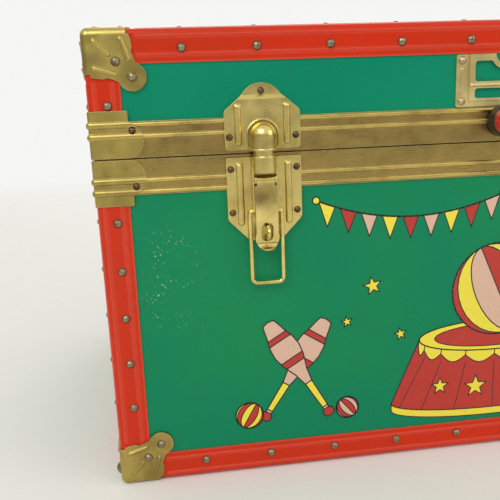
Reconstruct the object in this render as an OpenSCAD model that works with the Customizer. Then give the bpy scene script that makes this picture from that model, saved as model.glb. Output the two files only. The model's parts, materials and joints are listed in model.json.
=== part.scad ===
// Small tin trunk: plywood box and lid, enamelled tin skins, steel edge strips, brass-plated hardware.
// Origin: on the floor, under the middle of the whole trunk with its knob and hinges.
// +X to the trunk's right, -Y to its front, +Z up. Millimetres.

/* [Trunk] */
// Length over the edge strips
trunk_len = 524; // [460:1:620]
// Depth over the edge strips, front to back
trunk_depth = 320; // [280:1:400]
// Height over the edge strips
trunk_h = 295; // [250:1:360]
// Height of the lid's share, from its top strip to the joint
lid_h = 75.6; // [70:0.1:100]
// Gap at the joint between box and lid
seam_gap = 0.9; // [0.6:0.1:1.4]
// Thickness of the box boards
board_t = 5; // [4.4:0.1:7]
// Thickness of the lid boards
lid_board_t = 4; // [3:0.1:4.2]
// Thickness of the tin skins
tin_t = 0.4; // [0.3:0.1:0.8]
// Thickness of the paper lining
lining_t = 0.3; // [0.2:0.1:0.5]
// Radius of the box's edges under the strips
edge_r = 2.6; // [2:0.1:4]

/* [Edge strips] */
// Width of each flange of a strip
strip_w = 20; // [18:0.5:24]
// Thickness of a strip
strip_t = 0.8; // [0.6:0.1:1.2]
// Distance from the trunk's edge to the outer bead of a strip
strip_bead_outer = 4.6; // [4.2:0.1:6]
// Distance from the trunk's edge to the inner bead of a strip
strip_bead_inner = 15.3; // [14:0.1:17]
// Width of a strip's bead
strip_bead_w = 1.6; // [1:0.1:2.2]
// Height of a strip's bead
strip_bead_h = 0.5; // [0.3:0.1:0.8]
// Distance from the trunk's edge to the line of rivets
strip_rivet_in = 11.6; // [10:0.1:13]
// Distance of a strip's first rivet from the trunk's corner
first_rivet_in = 57.5; // [50:0.5:64]

/* [Corner caps] */
// Thickness of a corner cap
cap_t = 1; // [0.8:0.1:1.4]
// Length of a cap along each edge
cap_reach = 26.5; // [24:0.5:30]
// Distance of a cap's lobe from both edges
cap_lobe_at = 28.5; // [27:0.5:31]
// Radius of a cap's lobe
cap_lobe_r = 8.4; // [7.8:0.1:8.8]
// Distance of a cap's inner rivet from both edges
cap_rivet_at = 19.5; // [17:0.5:21]

/* [Rails] */
// Height of a rail
rail_h = 22.3; // [20:0.1:25]
// Thickness of a rail
rail_t = 0.8; // [0.6:0.1:1.2]
// Height of the outer bead above the joint
rail_bead_far = 20.4; // [18:0.1:21]
// Height of the inner bead above the joint
rail_bead_near = 13.4; // [11:0.1:15]
// Width of a rail's bead
rail_bead_w = 3.2; // [2.4:0.1:4]
// Height of a rail's bead
rail_bead_h = 1.2; // [0.8:0.1:1.6]

/* [Rail clamps] */
// Thickness of a clamp
clamp_t = 0.9; // [0.7:0.1:1.2]
// Reach of a clamp along the rail
clamp_reach = 31.5; // [28:0.5:36]
// Width of the tab on the edge strip
clamp_tab_w = 23; // [20:0.5:26]
// Height of the tab past the rail
clamp_tab_h = 6.4; // [4:0.1:9]
// Distance of the clamp's rivet from the trunk's edge
clamp_rivet_in = 25; // [22:0.5:28]

/* [Dust lip] */
// Thickness of the lip inside the joint
lip_t = 0.8; // [0.6:0.1:1.2]
// Height of the lip above the joint
lip_up = 6; // [4:0.5:9]
// Depth of the lip below the joint
lip_down = 14; // [10:0.5:20]

/* [Rivets] */
// Head diameter of the strip and cap rivets
rivet_d = 5.7; // [4.5:0.1:6.5]
// Head height of the strip and cap rivets
rivet_h = 2.1; // [1.4:0.1:2.6]
// Head diameter of the small hardware rivets
small_rivet_d = 4.4; // [3.4:0.1:5]
// Head height of the small hardware rivets
small_rivet_h = 1.3; // [0.9:0.1:1.6]
// Shank diameter of every rivet
shank_d = 2.4; // [1.8:0.1:2.8]
// Spacing aimed at between strip rivets
strip_rivet_pitch = 48; // [38:1:60]
// Spacing aimed at between the rivets of the box's upright strips
upright_rivet_pitch = 32; // [26:1:44]
// Head diameter of the studs at the ends of the lower caps
stud_d = 8.6; // [6:0.1:9]
// Head height of those studs
stud_h = 3.2; // [2:0.1:4]
// Distance of those studs from the cap's two edges
stud_in = 9; // [8.8:0.1:11]

/* [Latches] */
// Distance of each latch from the trunk's middle
latch_x = 157.8; // [120:0.2:190]
// Width of the latch plates
plate_w = 47.5; // [44:0.5:52]
// Thickness of the latch plates
plate_t = 1.1; // [0.9:0.1:1.4]
// Height of the lid plate's fold above the joint
plate_fold = 32.8; // [30:0.2:33]
// Run of the slope from the fold down to the tin
fold_run = 2.4; // [1.6:0.1:2.4]
// Height of the lid plate's domed top above the joint
plate_top = 42.4; // [40:0.2:45]
// Depth of the body plate's shoulders below the joint
plate_shoulder = 42; // [40:0.2:44]
// Depth of the body plate's foot below the joint
plate_foot = 55; // [53:0.5:58]
// Depth of the lever's pin below the joint
pin_down = 16.6; // [16:0.1:18]
// Radius of the lever's pin
pin_r = 1.3; // [1:0.1:1.5]
// Outer radius of the knuckles round the lever's pin
knuckle_r = 2.75; // [2.5:0.05:3]
// Depth of the bail's axis below the joint
bail_down = 35.8; // [34:0.1:37]
// Lever width
lever_w = 14; // [13:0.1:14.6]
// Thickness of the lever's sheet
lever_t = 1.1; // [0.9:0.1:1.3]
// Depth of the lever's lip below the joint
lever_end = 60.5; // [60:0.1:63]
// Radius of the lever's outward curl
lever_curl = 5; // [4.4:0.1:5.4]
// Depth of the staple and of the slot's middle below the joint
staple_down = 49; // [48.6:0.1:49.4]
// Length of the lever's slot
slot_len = 12.2; // [11.8:0.1:12.6]
// Width of the lever's slot
slot_w = 7.6; // [6.6:0.1:8.4]
// Radius of the tongue's domed head
dome_r = 8.5; // [8:0.05:8.6]
// Height of the head's top above the joint
dome_top = 19; // [18:0.1:22]
// Height of the head's lower edge above the joint
dome_low = 1.6; // [1.2:0.1:3]
// Radius of the tongue's neck
neck_r = 6.8; // [6:0.1:7]
// Thickness of the tongue's sheet
tongue_t = 0.9; // [0.7:0.05:1]
// Depth of the sleeve's top edge below the joint
sleeve_top = 1.8; // [1.4:0.1:2.6]
// Depth of the sleeve's lower edge below the joint
sleeve_low = 11.9; // [11:0.1:12.4]
// Radius of the latch bail's wire
wire_r = 1.35; // [1.1:0.05:1.4]
// Distance of the bail's legs from its middle
bail_half_w = 10.15; // [10.1:0.05:10.6]
// Depth of the bail's bar below the joint
bail_end = 82.8; // [78:0.2:88]
// Radius of the padlock staple's wire
staple_r = 1.3; // [1:0.05:1.4]
// Clear width of the padlock staple
staple_gap = 4.6; // [4.4:0.1:5]
// Height of the staple above the body plate
staple_h = 14.4; // [13.5:0.1:16]
// Sideways clearance between moving latch pieces
side_gap = 0.12; // [0.1:0.01:0.2]
// Radial running clearance of pins
pin_gap = 0.05; // [0.03:0.01:0.08]

/* [Hinges] */
// Distance of each hinge from the trunk's middle
hinge_x = 170; // [130:1:200]
// Width of a hinge
hinge_w = 46; // [38:1:60]
// Length of a hinge leaf from the joint
hinge_leaf = 21.6; // [20:0.2:22]
// Thickness of a hinge leaf
hinge_t = 1.2; // [1:0.1:1.6]
// Outer radius of a hinge knuckle
hinge_knuckle_r = 3.2; // [2.8:0.1:3.8]
// Radius of a hinge pin
hinge_pin_r = 1.6; // [1.2:0.1:1.8]
// Gap between hinge knuckles
hinge_gap = 0.3; // [0.2:0.05:0.5]

/* [Card holder] */
// Width of the card holder
card_w = 64; // [56:1:72]
// Height of the card holder
card_h = 32.4; // [30:0.2:34]
// Height of the holder's lower edge above the joint
card_low = 22.7; // [22.4:0.1:23.4]
// Thickness of the holder's sheet
card_t = 0.9; // [0.7:0.1:1.2]
// Depth of the pocket for the card
card_pocket = 1.2; // [0.8:0.1:1.6]
// Width of the riveted side flanges
card_flange = 8.6; // [8:0.1:10]

/* [Pull knob] */
// Height of the knob's middle above the joint
knob_up = 13.2; // [12:0.1:16]
// Radius of the knob's black base
knob_base_r = 10.2; // [9:0.1:11.5]
// Length of the black base
knob_base_h = 7.5; // [6:0.1:9]
// Radius of the red cap
knob_cap_r = 9.4; // [7:0.1:10]
// Length of the red cap
knob_cap_h = 8.5; // [7:0.1:10]

/* [End handles] */
// Height of the handle's axis above the floor
handle_z = 150; // [130:1:170]
// Length of the handle plate
handle_plate_w = 112; // [104:1:130]
// Height of the handle plate
handle_plate_h = 30; // [26:1:34]
// Thickness of the handle plate
handle_plate_t = 1.2; // [1:0.1:1.6]
// Distance between the middles of the handle's ears
handle_span = 84; // [76:1:92]
// Radius of the handle's wire
handle_wire_r = 2.5; // [2:0.1:3]
// Drop of the handle below its axis
handle_drop = 36; // [32:1:44]
// Length of the handle's grip
grip_len = 56; // [46:1:60]
// Radius of the handle's grip
grip_r = 6; // [5:0.1:7]

/* [Hidden] */
$fn = 64;
slack = 0.02;
overshoot = 1;
tin_colour = "seagreen";
strip_colour = "orangered";
brass_colour = "darkkhaki";
rivet_colour = "silver";
dark_rivet_colour = "saddlebrown";
board_colour = "burlywood";
paper_colour = "ivory";

// Planes of the tin's outer faces, from the middle of the trunk and from the floor
half_l = trunk_len / 2 - strip_t;
half_d = trunk_depth / 2 - strip_t;
base_z = cap_t + strip_t;
top_z = cap_t + trunk_h - strip_t;
seam_z = cap_t + trunk_h - lid_h;
board_l = half_l - tin_t;
board_d = half_d - tin_t;
board_low = base_z + tin_t;
board_top = top_z - tin_t;
body_rim = seam_z - seam_gap / 2;
lid_rim = seam_z + seam_gap / 2;
bead_peak = rail_t + rail_bead_h;
plate_back = bead_peak + 0.1;
plate_front = plate_back + plate_t;

// Where the joint, floor and top lie in a face's own height, measured from the joint
base_y = base_z - seam_z;
top_y = top_z - seam_z;

// How far the knob and the hinges stand out of the tin, and the shift that puts the origin midway
knob_reach = bead_peak + 2 * slack + knob_base_h + knob_cap_h;
hinge_reach = plate_back + 2 * hinge_knuckle_r;
mid_y = (knob_reach - hinge_reach) / 2;

function half_face(side) = side % 2 == 0 ? half_d : half_l;
function half_run(side) = side % 2 == 0 ? half_l : half_d;
// Radius of the circle whose cap has this width and height
function cap_radius(w, h) = (w * w / 4 + h * h) / (2 * h);
// Evenly spread places between two ends, with a spacing near the one aimed at
function spread(a, b, pitch) =
  let (n = max(1, round((b - a) / pitch))) [for (i = [0:n]) a + (b - a) * i / n];

// Puts a face's drawing on the trunk: x along the face, y up from the joint, z out of the tin.
// Sides 0 to 3 are front, right, back and left.
module on_side(side) {
  translate([0, 0, seam_z])
    rotate([0, 0, 90 * side])
      translate([0, -half_face(side), 0])
        rotate([90, 0, 0])
          children();
}

module both_ways() {
  children();
  mirror([1, 0, 0])
    children();
}

// A ridge with round ends, seen as a shallow arc, from a to b on the plane z
module ridge(a, b, z, w, h) {
  r = cap_radius(w, h);
  run = norm(b - a);
  turn = atan2(b[1] - a[1], b[0] - a[0]);
  intersection() {
    translate([a[0], a[1], z + h - r])
      rotate([0, 0, turn]) {
        rotate([0, 90, 0])
          cylinder(r = r, h = run);
        sphere(r = r);
        translate([run, 0, 0])
          sphere(r = r);
      }
    translate([min(a[0], b[0]) - r, min(a[1], b[1]) - r, z - slack])
      cube([abs(a[0] - b[0]) + 2 * r, abs(a[1] - b[1]) + 2 * r, h + overshoot]);
  }
}

module rivet_head(d, h) {
  r = cap_radius(d, h);
  intersection() {
    translate([0, 0, h - r])
      sphere(r = r);
    cylinder(d = d, h = h + overshoot);
  }
}

// A rivet whose head sits at height seat and whose shank reaches down to the board or tin
module rivet(p, seat, d, h) {
  translate([p[0], p[1], seat])
    rivet_head(d, h);
  translate([p[0], p[1], slack])
    cylinder(d = shank_d, h = seat - slack + 0.1);
}

module shank_hole(p) {
  translate([p[0], p[1], -overshoot])
    cylinder(d = shank_d + 2 * pin_gap, h = plate_front + 10);
}

// ---- Boards ----

module rounded_bar(l, d, r) {
  square([l - 2 * r, d], center = true);
  square([l, d - 2 * r], center = true);
  for (x = [-1, 1], y = [-1, 1])
    translate([x * (l / 2 - r), y * (d / 2 - r)])
      circle(r = r);
}

// The solid block that the boards are cut from, with its edges rounded for the strips
module case_block() {
  r = edge_r - tin_t;
  tall = board_top - board_low;
  intersection() {
    translate([0, 0, board_low])
      linear_extrude(tall)
        rounded_bar(2 * board_l, 2 * board_d, r);
    translate([0, board_d, board_low + tall / 2])
      rotate([90, 0, 0])
        linear_extrude(2 * board_d)
          rounded_bar(2 * board_l, tall, r);
    translate([-board_l, 0, board_low + tall / 2])
      rotate([90, 0, 90])
        linear_extrude(2 * board_l)
          rounded_bar(2 * board_d, tall, r);
  }
}

module board(x0, y0, z0, x1, y1, z1) {
  color(board_colour)
    intersection() {
      case_block();
      translate([x0, y0, z0])
        cube([x1 - x0, y1 - y0, z1 - z0]);
    }
}

floor_top = board_low + board_t;
ceiling = board_top - lid_board_t;

module body_floor_board() board(-board_l, -board_d, board_low, board_l, board_d, floor_top);
module body_front_board() board(-board_l, -board_d, floor_top, board_l, board_t - board_d, body_rim);
module body_back_board() board(-board_l, board_d - board_t, floor_top, board_l, board_d, body_rim);
module body_end_boards() {
  both_ways()
    board(-board_l, board_t - board_d, floor_top, board_t - board_l, board_d - board_t, body_rim);
}
module lid_top_board() board(-board_l, -board_d, ceiling, board_l, board_d, board_top);
module lid_front_board() {
  board(-board_l, -board_d, lid_rim, board_l, lid_board_t - board_d, ceiling);
}
module lid_back_board() board(-board_l, board_d - lid_board_t, lid_rim, board_l, board_d, ceiling);
module lid_end_boards() {
  both_ways()
    board(-board_l, lid_board_t - board_d, lid_rim, lid_board_t - board_l, board_d - lid_board_t,
      ceiling);
}

// ---- Tin skins ----

module wall_tin(side, y0, y1) {
  run = half_run(side) - edge_r;
  color(tin_colour)
    on_side(side)
      translate([-run, y0, -tin_t])
        cube([2 * run, y1 - y0, tin_t]);
}

module flat_tin(z) {
  color(tin_colour)
    translate([edge_r - half_l, edge_r - half_d, z])
      cube([2 * (half_l - edge_r), 2 * (half_d - edge_r), tin_t]);
}

module body_wall_tin(side) wall_tin(side, base_y + edge_r, -seam_gap / 2);
module lid_wall_tin(side) wall_tin(side, seam_gap / 2, top_y - edge_r);
module body_front_tin() body_wall_tin(0);
module body_back_tin() body_wall_tin(2);
module body_end_tins() {
  body_wall_tin(1);
  body_wall_tin(3);
}
module body_base_tin() flat_tin(base_z);
module lid_top_tin() flat_tin(board_top);
module lid_front_tin() lid_wall_tin(0);
module lid_back_tin() lid_wall_tin(2);
module lid_end_tins() {
  lid_wall_tin(1);
  lid_wall_tin(3);
}

// ---- Linings and dust lip ----

module open_box(wall, z0, z1, t) {
  l = board_l - wall;
  d = board_d - wall;
  difference() {
    translate([-l, -d, z0])
      cube([2 * l, 2 * d, z1 - z0]);
    translate([t - l, t - d, z0 + (z0 == floor_top ? t : -overshoot)])
      cube([2 * (l - t), 2 * (d - t), z1 - z0 - (z1 == ceiling ? t - overshoot : -overshoot)]);
  }
}

module body_lining() color(paper_colour) open_box(board_t, floor_top, body_rim - lip_down, lining_t);
module lid_lining() {
  color(paper_colour)
    open_box(lid_board_t, lid_rim + lip_up + overshoot, ceiling, lining_t);
}
module body_dust_lip() {
  color(brass_colour)
    open_box(board_t, body_rim - lip_down, seam_z + lip_up, lip_t);
}

// ---- Edge strips ----

// Section of an edge strip: the box's edge lies at the origin, with the trunk in x < 0 and y < 0
module strip_section(beads) {
  out = edge_r + strip_t;
  bead_r = cap_radius(strip_bead_w, strip_bead_h);
  flange = strip_w - out;
  translate([-edge_r, -edge_r])
    difference() {
      union() {
        intersection() {
          circle(r = out);
          square(out + overshoot);
        }
        translate([-flange, 0])
          square([flange, out]);
        translate([0, -flange])
          square([out, flange]);
        if (beads)
          for (at = [strip_bead_outer, strip_bead_inner]) {
            translate([out - at, out + strip_bead_h - bead_r])
              circle(r = bead_r);
            translate([out + strip_bead_h - bead_r, out - at])
              circle(r = bead_r);
          }
      }
      circle(r = edge_r);
      translate([-strip_w, -strip_w])
        square([strip_w, strip_w + edge_r]);
      translate([-strip_w, -strip_w])
        square([strip_w + edge_r, strip_w]);
    }
}

// A strip from z0 to z1 whose beads show from bead0 to bead1
module strip(z0, z1, bead0, bead1) {
  translate([0, 0, z0])
    linear_extrude(z1 - z0)
      strip_section(false);
  translate([0, 0, bead0])
    linear_extrude(bead1 - bead0)
      strip_section(true);
}

// The strips' beads stop short of the caps' scalloped ends
cap_scallop = 4.2;
cap_end = cap_reach + cap_scallop + slack;

// The four strips round the top, or round the base when turned over. Flat rivets are those of the top.
module ring_strips(flat_rivets) {
  for (side = [0:3]) {
    along_front = side % 2 == 0;
    run = half_run(side) - (along_front ? edge_r : strip_w - strip_t);
    bead = half_run(side) + strip_t - cap_end;
    rotate([0, 0, 90 * side])
      translate([0, -half_face(side), 0])
        rotate([0, 0, 180])
          rotate([90, 0, 90])
            difference() {
              strip(-run, run, -bead, bead);
              for (x = strip_rivets_along(side))
                translate([0, strip_t - strip_rivet_in, x])
                  rotate([0, 90, 0])
                    cylinder(d = shank_d + 2 * pin_gap, h = strip_w, center = true);
              if (flat_rivets)
                for (x = strip_rivets_along(side))
                  translate([strip_t - strip_rivet_in, 0, x])
                    rotate([90, 0, 0])
                      cylinder(d = shank_d + 2 * pin_gap, h = strip_w, center = true);
            }
  }
}

function strip_rivets_along(side) =
  let (end = half_run(side) + strip_t - first_rivet_in) spread(-end, end, strip_rivet_pitch);

module lid_top_strips() {
  color(strip_colour)
    translate([0, 0, top_z])
      ring_strips(true);
}

module body_base_strips() {
  color(strip_colour)
    translate([0, 0, base_z])
      mirror([0, 0, 1])
        ring_strips(false);
}

body_strip_low = base_z + strip_w - strip_t;
body_strip_high = body_rim - rail_h + seam_gap / 2;
lid_strip_low = lid_rim + rail_h - seam_gap / 2;
lid_strip_high = top_z - strip_w + strip_t;
body_rivet_heights = spread(base_z + first_rivet_in - 3, body_strip_high - 17, upright_rivet_pitch);
// The lid's upright strips have one rivet, just past the clamp's tab
lid_rivet_heights = [lid_strip_low + clamp_tab_h + rivet_d / 2 + 0.15];

module corner_strip(z0, z1, bead0, bead1, heights) {
  color(strip_colour)
    for (x = [0, 1], y = [0, 1])
      mirror([x, 0, 0])
        mirror([0, y, 0])
          translate([half_l, half_d, 0])
            difference() {
              strip(z0, z1, bead0, bead1);
              for (z = heights) {
                translate([strip_t - strip_rivet_in, 0, z])
                  rotate([90, 0, 0])
                    cylinder(d = shank_d + 2 * pin_gap, h = strip_w, center = true);
                translate([0, strip_t - strip_rivet_in, z])
                  rotate([0, 90, 0])
                    cylinder(d = shank_d + 2 * pin_gap, h = strip_w, center = true);
              }
            }
}

module body_corner_strips() {
  corner_strip(body_strip_low, body_strip_high, base_z - strip_t + cap_end,
    body_strip_high - clamp_tab_h - slack, body_rivet_heights);
}

module lid_corner_strips() {
  corner_strip(lid_strip_low, lid_strip_high, lid_strip_low + clamp_tab_h + slack,
    top_z + strip_t - cap_end, lid_rivet_heights);
}

// ---- Corner caps ----
// Drawn at the top right back corner: the tin's corner is the origin, with the trunk in negative x, y, z

cap_in = edge_r + strip_t;
cap_out = cap_in + cap_t;
cap_face_z = strip_t + cap_t;
cap_ribs = [[[8, 8], [15.5, 15.5]], [[23.3, 7.2], [26.8, 18.6]], [[7.2, 23.3], [18.6, 26.8]]];

// Outline of one face of a cap, measured inwards from the trunk's corner
module cap_outline() {
  e = cap_reach;
  polygon([
    [0, 0], [e, 0], [e + 1.2, 3], [e + 2.4, 7], [e + 3, 12], [e + 2.2, 14], [e + 3.2, 17],
    [cap_lobe_at + 3, cap_lobe_at - 7.2], [cap_lobe_at - 7.2, cap_lobe_at + 3],
    [17, e + 3.2], [14, e + 2.2], [12, e + 3], [7, e + 2.4], [3, e + 1.2], [0, e]
  ]);
  translate([cap_lobe_at, cap_lobe_at])
    circle(r = cap_lobe_r);
}

// The top face of a cap, with its lobe filled down to the tin inside the strips
module cap_face(ribs) {
  strip_edge = strip_t - strip_w;
  difference() {
    union() {
      translate([cap_face_z, cap_face_z, 0])
        rotate([0, 0, 180])
          linear_extrude(cap_face_z)
            intersection() {
              cap_outline();
              translate([cap_out, cap_out])
                square(3 * cap_reach);
            }
      if (ribs)
        for (rib = cap_ribs)
          translate([cap_face_z, cap_face_z, 0])
            ridge(-rib[0], -rib[1], cap_face_z, 3.2, 1.2);
    }
    translate([strip_edge, -3 * cap_reach, -overshoot])
      cube([strip_w + overshoot, 4 * cap_reach, strip_t + overshoot]);
    translate([-3 * cap_reach, strip_edge, -overshoot])
      cube([4 * cap_reach, strip_w + overshoot, strip_t + overshoot]);
    if (ribs)
      for (at = [cap_rivet_at, cap_lobe_at])
        shank_hole([cap_face_z - at, cap_face_z - at]);
  }
}

// The rounded edge of a cap between its top and back faces
module cap_edge() {
  translate([cap_face_z - cap_reach, -edge_r, -edge_r])
    rotate([90, 0, 90])
      linear_extrude(cap_reach - cap_out)
        difference() {
          intersection() {
            circle(r = cap_out);
            square(cap_out + overshoot);
          }
          circle(r = cap_in);
        }
}

module corner_cap(flat_ribs) {
  for (i = [0:2])
    rotate(120 * i, [1, 1, 1]) {
      cap_face(i > 0 || flat_ribs);
      cap_edge();
    }
  translate([-edge_r, -edge_r, -edge_r])
    intersection() {
      difference() {
        sphere(r = cap_out);
        sphere(r = cap_in);
      }
      cube(cap_out + overshoot);
    }
}

// Puts a copy at each of the four corners seen from above
module four_corners() {
  for (x = [0, 1], y = [0, 1])
    mirror([x, 0, 0])
      mirror([0, y, 0])
        translate([half_l, half_d, 0])
          children();
}

module upper_corner_caps() {
  color(brass_colour)
    four_corners()
      translate([0, 0, top_z])
        corner_cap(true);
}

// Seats of the domed studs on the ends of the trunk's lower caps
module stud_seats() {
  for (side = [1, 3])
    on_side(side)
      for (x = [-1, 1])
        translate([x * (half_d + cap_face_z - stud_in), base_y - cap_face_z + stud_in, cap_face_z])
          children();
}

module lower_corner_caps() {
  color(brass_colour)
    difference() {
      four_corners()
        translate([0, 0, base_z])
          mirror([0, 0, 1])
            corner_cap(false);
      stud_seats()
        cylinder(d = stud_d + 2 * pin_gap, h = stud_h);
    }
}

// ---- Rails and clamps ----
// Sections are drawn with x out of the tin and y up from the joint

rail_bead_r = cap_radius(rail_bead_w, rail_bead_h);
clamp_seat = max(rail_t, strip_t);
clamp_front = clamp_seat + clamp_t;
clamp_rivet_y = (rail_bead_near + rail_bead_far) / 2;

module rail_beads(grow) {
  for (y = [rail_bead_near, rail_bead_far])
    translate([bead_peak - rail_bead_r, y])
      circle(r = rail_bead_r + grow);
}

module rail_section() {
  difference() {
    union() {
      translate([0, seam_gap / 2])
        square([rail_t, rail_h - seam_gap / 2]);
      rail_beads(0);
    }
    translate([-rail_h, -rail_h])
      square([rail_h, 3 * rail_h]);
  }
}

module clamp_section() {
  difference() {
    union() {
      translate([clamp_seat, seam_gap / 2])
        square([clamp_t, rail_h + clamp_tab_h - seam_gap / 2]);
      rail_beads(clamp_t);
    }
    translate([clamp_seat - rail_h, -rail_h])
      square([rail_h, 4 * rail_h]);
    rail_beads(0);
  }
}

// Sweeps a section along a face, from x0 to x1
module along_face(x0, x1) {
  translate([x0, 0, 0])
    rotate([90, 0, 90])
      linear_extrude(x1 - x0)
        children();
}

module turned_section() {
  mirror([1, -1])
    children();
}

// The four rails of the lid; the box's are their mirror image below the joint.
// plate_holes are the places of the latch plates' rivets, taken from each latch's middle.
module rails(plate_holes) {
  for (side = [0:3])
    on_side(side)
      difference() {
        along_face(-half_run(side), half_run(side))
          turned_section()
            rail_section();
        for (x = [-1, 1])
          shank_hole([x * (half_run(side) + strip_t - clamp_rivet_in), clamp_rivet_y]);
        if (side == 0)
          for (x = latch_centres, p = plate_holes)
            shank_hole([x + p[0], p[1]]);
        if (side == 2)
          for (x = [-hinge_x, hinge_x], dx = hinge_rivets_x)
            shank_hole([x + dx, hinge_rivet_y]);
      }
}

module mirrored_at_joint() {
  translate([0, 0, 2 * seam_z])
    mirror([0, 0, 1])
      children();
}

module lid_rails() color(brass_colour) rails(lid_plate_rivets);
module body_rails() {
  color(brass_colour)
    mirrored_at_joint()
      rails([for (p = body_plate_rivets) if (-p[1] < rail_h) [p[0], -p[1]]]);
}

// Outline of a clamp's arm: u inwards from the tin's corner, v up from the joint
module clamp_outline() {
  end = clamp_reach - strip_t;
  tab = clamp_tab_w - strip_t;
  round_r = rail_h / 2;
  square([end - round_r, rail_h]);
  translate([end - round_r, round_r])
    circle(r = round_r);
  square([tab - 1, rail_h + clamp_tab_h]);
  square([tab, rail_h + clamp_tab_h - 1]);
  translate([tab - 1, rail_h + clamp_tab_h - 1])
    circle(r = 1);
}

module clamp_arm() {
  difference() {
    intersection() {
      along_face(-clamp_reach, 0)
        clamp_section();
      mirror([1, 0, 0])
        rotate([90, 0, 0])
          translate([0, 0, -clamp_reach])
            linear_extrude(2 * clamp_reach)
              clamp_outline();
    }
    translate([strip_t - clamp_rivet_in, 0, clamp_rivet_y]) {
      rotate([90, 0, 0])
        cylinder(d = shank_d + 2 * pin_gap, h = clamp_reach, center = true);
      // The beads are pressed flat under the rivet's head
      translate([0, clamp_front, 0])
        rotate([-90, 0, 0])
          cylinder(d = small_rivet_d + 2 * pin_gap, h = rail_h);
    }
  }
}

module rail_clamps() {
  four_corners()
    translate([0, 0, seam_z]) {
      clamp_arm();
      mirror([1, -1, 0])
        clamp_arm();
      rotate_extrude(angle = 90)
        clamp_section();
    }
}

module lid_rail_clamps() color(brass_colour) rail_clamps();
module body_rail_clamps() color(brass_colour) mirrored_at_joint() rail_clamps();

// ---- Latches ----
// Drawn on the front face: x from the latch's middle, y up from the joint, z out of the tin

pin_z = plate_front + knuckle_r + 0.5;
bail_z = pin_z - 0.9;
tongue_back = plate_front + 1.3;
ear_t = 1.3;
cheek_t = 1;
cheek_past_bail = 9.1;
arm_half_h = 1.95;
sheet_step = 0.7;
bow_tilt = 13;
lip_thinning = 0.08;
plate_ridge_w = 4.6;
plate_ridge_h = 1.7;
plate_edge = 2.3;
lid_plate_rivets = [[-20.8, 10.3], [20.8, 10.3]];
lid_plate_top_rivet = [0, 37.6];
body_plate_rivets = [[-20.8, -9.4], [20.8, -9.4], [-20.7, -36.7], [20.7, -36.7]];
latch_centres = [-latch_x, latch_x];

module at_latch(i) {
  on_side(0)
    translate([latch_centres[i], 0, 0])
      children();
}

module lid_plate_outline() {
  w = plate_w / 2;
  dome = 14;
  translate([0, plate_top - dome])
    circle(r = dome);
  polygon([
    [-w, plate_edge + 1.5], [1.5 - w, plate_edge], [w - 1.5, plate_edge], [w, plate_edge + 1.5],
    [w, 24.6], [w - 0.8, 26.4], [w - 3, 28.2], [12, plate_top - 6.7], [-12, plate_top - 6.7],
    [3 - w, 28.2], [0.8 - w, 26.4], [-w, 24.6]
  ]);
}

module body_plate_outline() {
  w = plate_w / 2;
  polygon([
    [-w, -plate_edge], [w, -plate_edge], [w, 1.5 - plate_shoulder], [w - 1, -plate_shoulder - 0.3],
    [11.5, 1.2 - plate_foot], [10, -plate_foot], [-10, -plate_foot], [-11.5, 1.2 - plate_foot],
    [1 - w, -plate_shoulder - 0.3], [-w, 1.5 - plate_shoulder]
  ]);
}

// Rim that carries a plate's edge down to the tin
module plate_rim() {
  linear_extrude(plate_back + slack)
    difference() {
      children();
      offset(delta = -plate_t)
        children();
    }
}

module band(y0, y1, z0, z1) {
  translate([-plate_w, y0, z0])
    cube([2 * plate_w, y1 - y0, z1 - z0]);
}

module latch_lid_plate() {
  arch_w = 1.4;
  arch_h = 0.5;
  arch_r = dome_r + 1.3;
  arch_y = dome_top - dome_r;
  arch_cap = cap_radius(arch_w, arch_h);
  color(brass_colour)
    difference() {
      union() {
        intersection() {
          linear_extrude(plate_front)
            lid_plate_outline();
          along_face(-plate_w, plate_w)
            polygon([
              [0, plate_back], [0, plate_front], [plate_fold, plate_front],
              [plate_fold + fold_run, plate_t], [plate_top + overshoot, plate_t], [plate_top + overshoot, 0],
              [plate_fold + fold_run, 0], [plate_fold, plate_back]
            ]);
        }
        intersection() {
          plate_rim()
            lid_plate_outline();
          along_face(-plate_w, plate_w)
            polygon([
              [rail_h + slack, 0], [rail_h + slack, plate_front], [plate_fold, plate_front],
              [plate_fold + fold_run, plate_t], [plate_fold + fold_run, 0]
            ]);
        }
        for (x = [-15.2, 15.2])
          ridge([x, 7], [x, 28], plate_front, plate_ridge_w, plate_ridge_h);
        for (x = [-arch_r, arch_r])
          ridge([x, plate_edge + 2], [x, arch_y], plate_front, arch_w, arch_h);
        translate([0, arch_y, plate_front])
          intersection() {
            rotate_extrude(angle = 180)
              translate([arch_r, arch_h - arch_cap])
                circle(r = arch_cap);
            translate([-2 * arch_r, 0, -slack])
              cube([4 * arch_r, 2 * arch_r, 2]);
          }
        translate([0, dome_low + 5, plate_front - slack])
          cylinder(d = 8, h = 1);
      }
      for (p = lid_plate_rivets)
        shank_hole(p);
      shank_hole(lid_plate_top_rivet);
    }
}

module latch_ear() {
  along_face(lever_w / 2 - ear_t, lever_w / 2)
    difference() {
      union() {
        translate([-pin_down, pin_z])
          circle(r = knuckle_r);
        translate([-pin_down - knuckle_r, plate_front - slack])
          square([2 * knuckle_r, pin_z - plate_front]);
      }
      translate([-pin_down, pin_z])
        circle(r = pin_r + pin_gap);
    }
}

module latch_body_plate() {
  color(brass_colour)
    difference() {
      union() {
        translate([0, 0, plate_back])
          linear_extrude(plate_t)
            body_plate_outline();
        intersection() {
          plate_rim()
            body_plate_outline();
          band(-plate_foot - overshoot, -rail_h - slack, 0, plate_front);
        }
        for (x = [-15.4, 15.4])
          ridge([x, -43], [x, -7.5], plate_front, plate_ridge_w, plate_ridge_h);
        both_ways()
          latch_ear();
      }
      for (p = body_plate_rivets)
        shank_hole(p);
    }
}

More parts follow.
